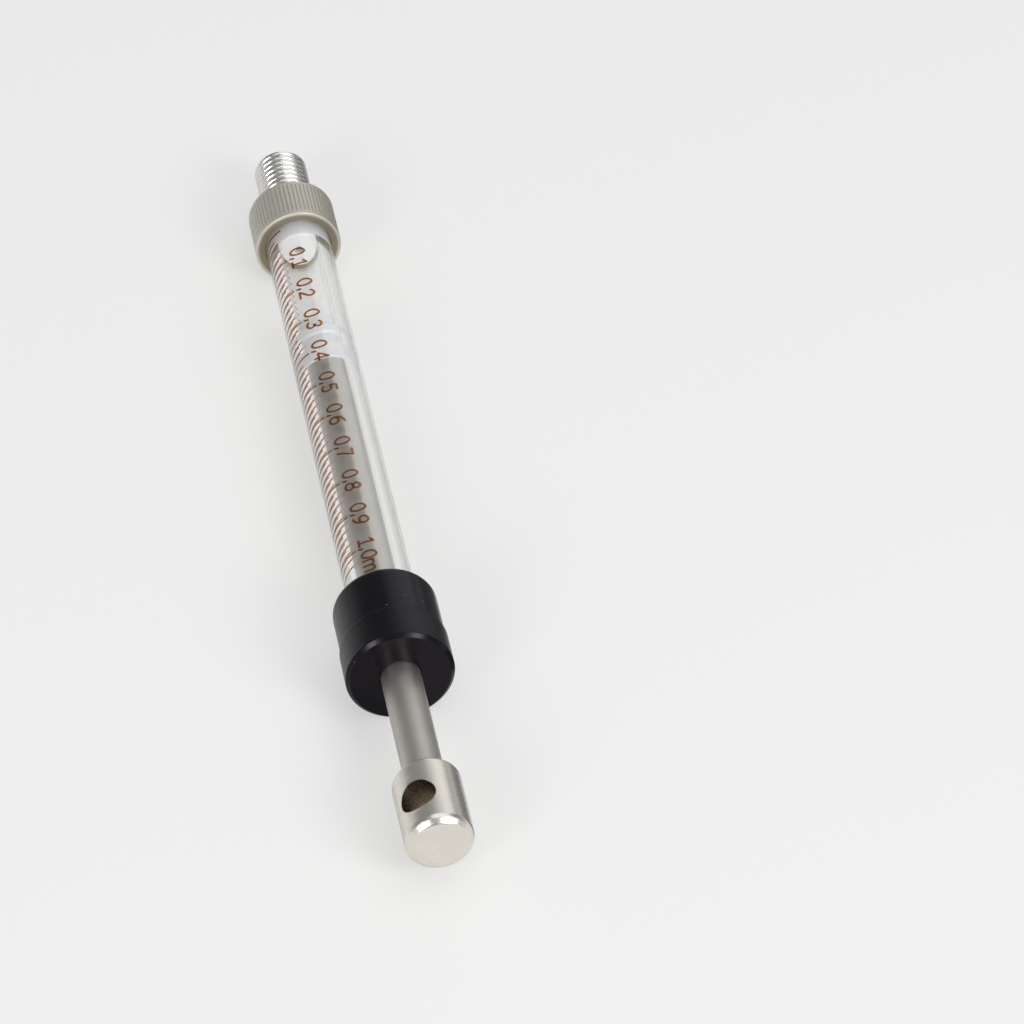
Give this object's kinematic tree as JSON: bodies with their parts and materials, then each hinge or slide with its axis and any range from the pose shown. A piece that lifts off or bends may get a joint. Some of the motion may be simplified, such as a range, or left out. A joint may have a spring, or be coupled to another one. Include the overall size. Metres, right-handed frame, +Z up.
{
  "type": "microsyringe",
  "caption": "Glass instrument microsyringe with a threaded fluid port, graduated barrel, screw cap and cross-bored plunger head.",
  "frame": {"origin": "on the ground, under the middle of the lying syringe", "axes": "+X along the syringe towards the plunger head, +Z up"},
  "size_m": [0.1216, 0.0119, 0.0119],
  "materials": {
    "clear_glass": "clear polished",
    "bright_steel": "bright turned",
    "nickel_plate": "matte nickel plate",
    "rod_steel": "ground",
    "head_steel": "satin",
    "white_plastic": "smooth",
    "black_plastic": "satin",
    "cement": "smooth",
    "scale_print": "burnt-in brown"
  },
  "bodies": {
    "barrel": {"glass_barrel": "clear_glass", "threaded_stud": "bright_steel", "knurled_collar": "nickel_plate", "port_seal": "white_plastic", "collar_cement": "cement", "end_sleeve": "black_plastic"},
    "seal": {"piston_seal": "white_plastic"},
    "plunger": {"plunger_rod": "rod_steel", "plunger_head": "head_steel"},
    "washer": {"guide_washer": "white_plastic"},
    "cap": {"screw_cap": "black_plastic"}
  },
  "joints": [
    {"name": "plunger_travel", "type": "slide", "parent": "barrel", "child": "seal", "axis": [0.9999, 0, 0.0112], "range_m": [-0.01515, 0.0508]},
    {"name": "plunger_spin", "type": "hinge", "parent": "seal", "child": "plunger", "pos_m": [0.00565, 0, 0.00569], "axis": [0.9999, 0, 0.0112], "continuous": true},
    {"name": "cap_advance", "type": "slide", "parent": "barrel", "child": "washer", "axis": [0.9999, 0, 0.0112], "range_m": [0, 0.0018]},
    {"name": "cap_turn", "type": "hinge", "parent": "washer", "child": "cap", "pos_m": [0.03165, 0, 0.00598], "axis": [0.9999, 0, 0.0112], "range_deg": [0, 648.1]}
  ],
  "couplings": [
    {"joint": "cap_turn", "follows": "cap_advance", "rad_per_m": 6283.2}
  ]
}
